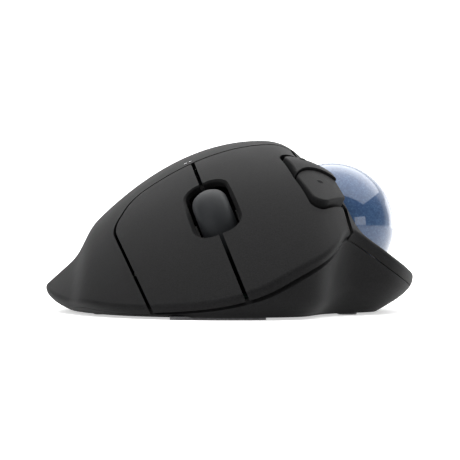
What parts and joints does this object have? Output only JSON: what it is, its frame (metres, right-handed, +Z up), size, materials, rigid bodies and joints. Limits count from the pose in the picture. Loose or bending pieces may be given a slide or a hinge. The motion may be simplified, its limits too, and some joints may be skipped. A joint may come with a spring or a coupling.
{
  "type": "trackball mouse",
  "caption": "Right-hand sculpted trackball mouse with a thumb-operated blue ball, split main buttons, scroll wheel and small side buttons.",
  "frame": {"origin": "centre of the bounding box in plan, on the plane its feet rest on", "axes": "+X to the thumb side with the ball, +Y from the button nose to the palm end, +Z up"},
  "size_m": [0.1007, 0.1337, 0.047],
  "materials": {
    "base_shell": "fine texture",
    "top_shell": "fine texture",
    "light_pipe": "clear",
    "status_led": "clear",
    "button_frame": "satin",
    "hinge_pin": "plated",
    "main_board": "solder mask",
    "left_switch": "moulded",
    "right_switch": "moulded",
    "radio_chip": "moulded",
    "side_board": "solder mask",
    "side_bracket": "satin",
    "forward_switch": "moulded",
    "back_switch": "moulded",
    "ball_socket": "satin",
    "bearing_1": "polished",
    "bearing_2": "polished",
    "bearing_3": "polished",
    "sensor_lens": "clear",
    "sensor_chip": "moulded",
    "sensor_board": "solder mask",
    "wheel_guide": "satin",
    "battery": "printed sleeve",
    "front_contact": "plated",
    "spring_contact": "plated",
    "receiver_cap": "satin",
    "receiver_plug": "plated",
    "power_switch": "moulded",
    "connect_switch": "moulded",
    "foot_nose": "slippery pad",
    "foot_left": "slippery pad",
    "foot_right": "slippery pad",
    "foot_rear_left": "slippery pad",
    "foot_rear_right": "slippery pad",
    "case_screw_1": "plated",
    "case_screw_2": "plated",
    "case_screw_3": "plated",
    "case_screw_4": "plated",
    "frame_screw_1": "plated",
    "frame_screw_2": "plated",
    "board_screw_1": "plated",
    "board_screw_2": "plated",
    "board_screw_3": "plated",
    "socket_screw_1": "plated",
    "socket_screw_2": "plated",
    "socket_screw_3": "plated",
    "left_button": "fine texture",
    "right_button": "fine texture",
    "left_plunger": "moulded",
    "right_plunger": "moulded",
    "forward_button": "fine texture",
    "back_button": "fine texture",
    "trackball": "polished pearl",
    "wheel_fork": "satin",
    "wheel_encoder": "moulded",
    "wheel_tyre": "smooth",
    "wheel_hub": "satin",
    "power_knob": "satin",
    "connect_button": "satin",
    "battery_door": "fine texture"
  },
  "bodies": {
    "chassis": {"base_shell": "base_shell", "top_shell": "top_shell", "light_pipe": "light_pipe", "status_led": "status_led", "button_frame": "button_frame", "hinge_pin": "hinge_pin", "main_board": "main_board", "left_switch": "left_switch", "right_switch": "right_switch", "radio_chip": "radio_chip", "side_board": "side_board", "side_bracket": "side_bracket", "forward_switch": "forward_switch", "back_switch": "back_switch", "ball_socket": "ball_socket", "bearing_1": "bearing_1", "bearing_2": "bearing_2", "bearing_3": "bearing_3", "sensor_lens": "sensor_lens", "sensor_chip": "sensor_chip", "sensor_board": "sensor_board", "wheel_guide": "wheel_guide", "battery": "battery", "front_contact": "front_contact", "spring_contact": "spring_contact", "receiver_cap": "receiver_cap", "receiver_plug": "receiver_plug", "power_switch": "power_switch", "connect_switch": "connect_switch", "foot_nose": "foot_nose", "foot_left": "foot_left", "foot_right": "foot_right", "foot_rear_left": "foot_rear_left", "foot_rear_right": "foot_rear_right", "case_screw_1": "case_screw_1", "case_screw_2": "case_screw_2", "case_screw_3": "case_screw_3", "case_screw_4": "case_screw_4", "frame_screw_1": "frame_screw_1", "frame_screw_2": "frame_screw_2", "board_screw_1": "board_screw_1", "board_screw_2": "board_screw_2", "board_screw_3": "board_screw_3", "socket_screw_1": "socket_screw_1", "socket_screw_2": "socket_screw_2", "socket_screw_3": "socket_screw_3"},
    "left_button": {"left_button": "left_button"},
    "right_button": {"right_button": "right_button"},
    "left_plunger": {"left_plunger": "left_plunger"},
    "right_plunger": {"right_plunger": "right_plunger"},
    "forward_button": {"forward_button": "forward_button"},
    "back_button": {"back_button": "back_button"},
    "trackball": {"trackball": "trackball"},
    "wheel_fork": {"wheel_fork": "wheel_fork", "wheel_encoder": "wheel_encoder"},
    "wheel": {"wheel_tyre": "wheel_tyre", "wheel_hub": "wheel_hub"},
    "power_knob": {"power_knob": "power_knob"},
    "connect_button": {"connect_button": "connect_button"},
    "battery_door": {"battery_door": "battery_door"}
  },
  "joints": [
    {"name": "left_button_hinge", "type": "hinge", "parent": "chassis", "child": "left_button", "pos_m": [-0.00643, -0.00995, 0.03289], "axis": [0.9261, 0, 0.3773], "range_deg": [0, 0.7], "stiffness_Nm_per_rad": 1.5, "springref_deg": -0.57},
    {"name": "right_button_hinge", "type": "hinge", "parent": "chassis", "child": "right_button", "pos_m": [-0.00643, -0.00995, 0.03289], "axis": [0.9261, 0, 0.3773], "range_deg": [0, 0.7], "stiffness_Nm_per_rad": 1.5, "springref_deg": -0.57},
    {"name": "left_plunger_slide", "type": "slide", "parent": "chassis", "child": "left_plunger", "axis": [0, 0, -1], "range_m": [0, 0.0005]},
    {"name": "right_plunger_slide", "type": "slide", "parent": "chassis", "child": "right_plunger", "axis": [0, 0, -1], "range_m": [0, 0.0005]},
    {"name": "forward_button_slide", "type": "slide", "parent": "chassis", "child": "forward_button", "axis": [-0.4226, 0.3348, -0.8422], "range_m": [0, 0.0004], "stiffness_N_per_m": 600, "springref_m": -0.0005},
    {"name": "back_button_slide", "type": "slide", "parent": "chassis", "child": "back_button", "axis": [-0.4226, 0.3348, -0.8422], "range_m": [0, 0.0004], "stiffness_N_per_m": 600, "springref_m": -0.0005},
    {"name": "trackball_roll", "type": "hinge", "parent": "chassis", "child": "trackball", "pos_m": [0.0277, -0.005, 0.0237], "axis": [0, 0, 1], "continuous": true},
    {"name": "wheel_click", "type": "slide", "parent": "chassis", "child": "wheel_fork", "axis": [0.3099, 0.5706, -0.7606], "range_m": [0, 0.0004], "stiffness_N_per_m": 1500, "springref_m": -0.0005},
    {"name": "wheel_spin", "type": "hinge", "parent": "wheel_fork", "child": "wheel", "pos_m": [-0.00206, -0.03365, 0.02136], "axis": [0.9261, 0, 0.3773], "continuous": true},
    {"name": "power_slide", "type": "slide", "parent": "chassis", "child": "power_knob", "axis": [1, 0, 0], "range_m": [0, 0.0036]},
    {"name": "connect_press", "type": "slide", "parent": "chassis", "child": "connect_button", "axis": [0, 0, 1], "range_m": [0, 0.0003], "stiffness_N_per_m": 500},
    {"name": "battery_door_hinge", "type": "hinge", "parent": "chassis", "child": "battery_door", "pos_m": [-0.012, -0.00155, 0.0013], "axis": [-1, 0, 0], "range_deg": [0, 100]}
  ],
  "couplings": [
    {"joint": "left_plunger_slide", "follows": "left_button_hinge", "m_per_rad": 0.032},
    {"joint": "right_plunger_slide", "follows": "right_button_hinge", "m_per_rad": 0.032}
  ]
}
